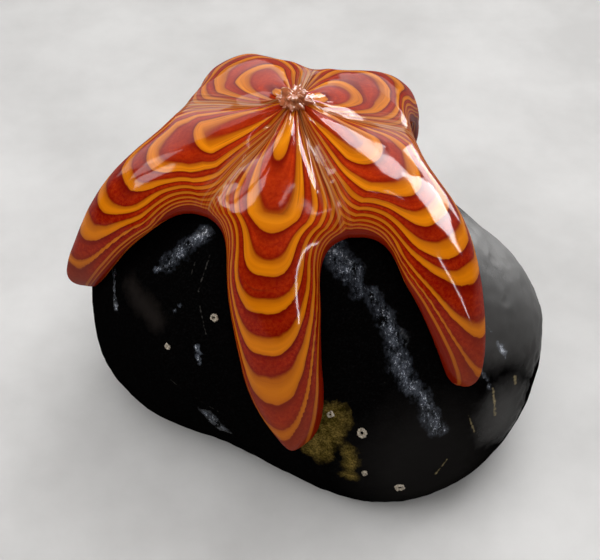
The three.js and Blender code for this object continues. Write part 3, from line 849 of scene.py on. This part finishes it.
def stone_finish():
    finish, tree, shader, where = new_finish("black_beach_stone")
    torn, frayed = cloud(tree, where, 6, 3, 0.6), cloud(tree, where, 1.4, 3, 0.6)
    blotches = cloud(tree, where, 20, 4, 0.6)

    far_side = far_side_of(tree, where, blotches)
    bare = times(tree, far_side, ramp(tree, cloud(tree, where, 24, 4, 0.6), [(0.42, 0), (0.6, 0.8)]))
    shoulder = patch(tree, where, times_plus(tree, blotches, 3, -1), *DRY_SHOULDER)
    dry = most(tree, shoulder, patch(tree, where, torn, *DRY_FOOT), bare)
    grey_foot_patch = patch(tree, where, torn, *GREY_FOOT_PATCH)
    # A painted sheen: lighter grey over a flat facet on the left.
    painted_sheen_facet = streak(tree, where, torn, *PAINTED_SHEEN_FACET, 6)

    stains = most(tree, *(streak(tree, where, torn, *ends, radius, 4, 7) for *ends, radius in STAINS))
    cracks = [streak(tree, where, frayed, *ends, CRACK_HALF_WIDTH, 0.25, 1.2) for ends in CRACKS]
    scratches = [streak(tree, where, frayed, *ends, radius, 0.5, 1.4) for *ends, radius in SCRATCHES]
    shiny_streaks_with_painted_glints = [streak(tree, where, torn, *ends, radius, radius * 1.8, 6) for *ends, radius in SHINY_STREAKS_WITH_PAINTED_GLINTS]
    cracks, scratches, shiny_streaks_with_painted_glints = most(tree, *cracks), most(tree, *scratches), most(tree, *shiny_streaks_with_painted_glints)

    # Painted glints: bluish clumps and white flecks painted into the colour of the shiny streaks in place of
    # sparkling highlights; the clumps also raise the specular level.
    drawn = vectors(tree, "MULTIPLY", where, (1, 1, 0.4))
    glint_clumps_painted_and_glossy = times(tree, shiny_streaks_with_painted_glints, ramp(tree, cloud(tree, drawn, 3.2, 6, 0.8), [(0.41, 0), (0.65, 1)]))
    painted_glint_flecks = ramp(tree, times_plus(tree, glint_clumps_painted_and_glossy, 0.16, cloud(tree, drawn, 0.8, 5, 0.8)), [(0.62, 0), (0.71, 1)])
    painted_glint_flecks = times(tree, painted_glint_flecks, ramp(tree, shiny_streaks_with_painted_glints, [(0.1, 0), (0.5, 1)]))

    speckle = cloud(tree, where, 0.7, 4, 0.7)
    patchy = ramp(tree, speckle, [(0.4, 0.3), (0.62, 1)])
    olive = ramp(tree, cloud(tree, where, 3.5, 5, 0.7), [(0.38, 0), (0.66, 1)])
    colour = mixed(tree, ramp(tree, speckle, [(0.5, 0), (0.75, 0.5)]), STONE_BLACK, STONE_SPECK)
    for share, tint in (
        (painted_sheen_facet, PAINTED_SHEEN_GREY),
        (times(tree, grey_foot_patch, 0.7), FOOT_PATCH_GREY),
        (times(tree, dry, 0.75), DRY_GREY),
        (times(tree, stains, patchy), mixed(tree, olive, DARK_OLIVE, PALE_OLIVE)),
        (times(tree, cracks, patchy), CRACK_GREY),
        (times(tree, scratches, patchy), SCRATCH_LIME),
        (glint_clumps_painted_and_glossy, PAINTED_GLINT_BLUE),
        (painted_glint_flecks, PAINTED_GLINT_WHITE),
    ):
        colour = mixed(tree, share, colour, tint)

    worn = ramp(tree, cloud(tree, where, 18, 4, 0.6), [(0.46, 0), (0.62, 1)])
    pits = ramp(tree, cloud(tree, where, 1.2, 5, 0.75), [(0.3, 0), (0.5, 1)])
    height = times_plus(tree, cloud(tree, where, 0.5, 3, 0.7), 0.35, pits)
    normal = bump(tree, height, most(tree, times(tree, worn, 0.35), shiny_streaks_with_painted_glints), 0.3)
    rough = times_plus(tree, dry, 0.4, 0.16)
    sheen = most(tree, times(tree, glint_clumps_painted_and_glossy, 0.5), times(tree, dry, 0.05), times(tree, far_side, 0.15))
    set_shader(tree, shader, Base_Color=colour, Roughness=rough, Specular_IOR_Level=sheen, Normal=normal)
    return finish


# ---------- the scars' and the floor's finishes ----------
LIME_BROWN = (0.10, 0.075, 0.05, 1)
LIME_WHITE = (0.50, 0.43, 0.33, 1)
FLOOR_SHADE = (0.585, 0.575, 0.565, 1)
FLOOR_PALE = (0.685, 0.675, 0.665, 1)


def barnacle_finish():
    finish, tree, shader, where = new_finish("barnacle_lime")
    chalk = cloud(tree, where, 0.6, 4, 0.7)
    colour = ramp(tree, chalk, [(0.35, LIME_BROWN), (0.62, LIME_WHITE)])
    set_shader(tree, shader, Base_Color=colour, Roughness=0.6, Normal=bump(tree, chalk, 0.6, 0.15))
    return finish


def floor_finish():
    finish, tree, shader, where = new_finish("pale_floor")
    shade = times_plus(tree, cloud(tree, where, 12, 5, 0.6), 0.25, cloud(tree, where, 70, 3))
    colour = ramp(tree, shade, [(0.45, FLOOR_SHADE), (0.8, FLOOR_PALE)])
    set_shader(tree, shader, Base_Color=colour, Roughness=0.85, Specular_IOR_Level=0.0)
    return finish


# ---------- floor, light and camera, in metres ----------
FLOOR_HALF = 3
LIT_PLACE = Vector((0, 0, 0.12))  # what the softboxes face
# Each softbox's name, azimuth and rise, distance, width, height, and watts.
DAYLIGHT = [  # falls on surfaces, but isn't seen in their gloss
    ("daylight_behind", 50, 57, 1.2, 0.9, 0.8, 8),
    ("daylight_overhead", 250, 72, 1.3, 1.2, 1.2, 10),
    ("daylight_left", 190, 30, 1.4, 0.8, 0.8, 5),
    ("daylight_front", 290, 35, 1.5, 0.9, 0.9, 5),
]
WINDOWS = [  # seen in the gloss only
    ("window_right", 25, 29.5, 1.1, 0.7, 0.66, 100),
    ("window_high", 60, 50, 1.1, 0.4, 0.5, 33),
    ("window_low", 46, 4, 1.2, 0.5, 0.5, 24),
    ("window_left", 176, 42, 1.2, 0.32, 0.55, 12),
    ("wall_left", 147, 32, 1.2, 0.5, 0.45, 9),
    ("lamp_right", 314, 16, 1.2, 0.08, 0.9, 14),
    ("skylight", 290, 74, 1.4, 0.5, 0.06, 2),
    ("wall_behind", 95, 17, 1.3, 2.3, 1.2, 32),
]
# The camera, in millimetres and degrees.
CAMERA_DOWN = 46  # degrees below level
CAMERA_DISTANCE = 400  # back from the knot
CAMERA_RIGHT = 1.73
CAMERA_LOWER = 62.28
CAMERA_FOCAL = 69.4
SENSOR_WIDTH = 36


def floor():
    bm = bmesh.new()
    bmesh.ops.create_grid(bm, x_segments=1, y_segments=1, size=FLOOR_HALF)
    ground = object_of(bm, "floor")
    ground.data.materials.append(floor_finish())


def softbox(name, azimuth, rise, distance, width, height, watts, in_gloss):
    """A window-like area light that faces the glass, and either is seen in gloss or lights surfaces."""
    light = bpy.data.lights.new(name, "AREA")
    light.shape = "RECTANGLE"
    light.size, light.size_y, light.energy = width, height, watts
    lamp = bpy.data.objects.new(name, light)
    towards = Vector(heading(azimuth, rise))
    lamp.location = LIT_PLACE + towards * distance
    lamp.rotation_euler = towards.to_track_quat("Z", "Y").to_euler()
    lamp.visible_diffuse, lamp.visible_glossy = not in_gloss, in_gloss
    bpy.context.scene.collection.objects.link(lamp)


def studio():
    """A room that is bright behind the glass and dim in front, with window-like softboxes."""
    world = bpy.data.worlds.new("studio")
    world.use_nodes = True
    tree = world.node_tree
    way = add(tree, "TexCoord").outputs["Generated"]
    bright = times_plus(tree, vectors(tree, "DOT_PRODUCT", way, tuple(heading(80, 12))), 0.5, 0.5)
    glow = ramp(tree, bright, [(0.4, 0.03), (0.72, 0.07), (0.88, 0.55), (1, 0.8)])
    tree.links.new(glow, tree.nodes["Background"].inputs[0])
    bpy.context.scene.world = world
    for light in DAYLIGHT:
        softbox(*light, in_gloss=False)
    for light in WINDOWS:
        softbox(*light, in_gloss=True)


def camera():
    down = math.radians(CAMERA_DOWN)
    ahead = Vector((0, math.cos(down), -math.sin(down)))
    up = Vector((0, math.sin(down), math.cos(down)))
    lens = bpy.data.cameras.new("camera")
    lens.lens, lens.sensor_width = CAMERA_FOCAL, SENSOR_WIDTH
    lens.clip_start = 0.01
    view = bpy.data.objects.new("camera", lens)
    view.location = (KNOT - CAMERA_DISTANCE * ahead + Vector((CAMERA_RIGHT, 0, 0)) - CAMERA_LOWER * up) * MM
    view.rotation_euler = (math.radians(90 - CAMERA_DOWN), 0, 0)
    bpy.context.scene.collection.objects.link(view)
    bpy.context.scene.camera = view


camera()
studio()
floor()
GLASS = glass_finish("ringed_glass", 0.18)
GATHER_GLASS = glass_finish("gathered_glass", 0.5, tan_and_sheen=0.55)
STONE = stone_finish()
LIME = barnacle_finish()
dress(glass_skin(), GLASS, "glass", "star_disc", *ARM_NODES)
dress(crown_gather(), GATHER_GLASS, "glass", "star_crown")
dress(stone_skin(), STONE, "stone", "stone")
for number, scar in enumerate(SCARS, 1):
    dress(barnacle_scar(number, *scar), LIME, "stone")
bpy.context.scene.view_settings.view_transform = "Standard"
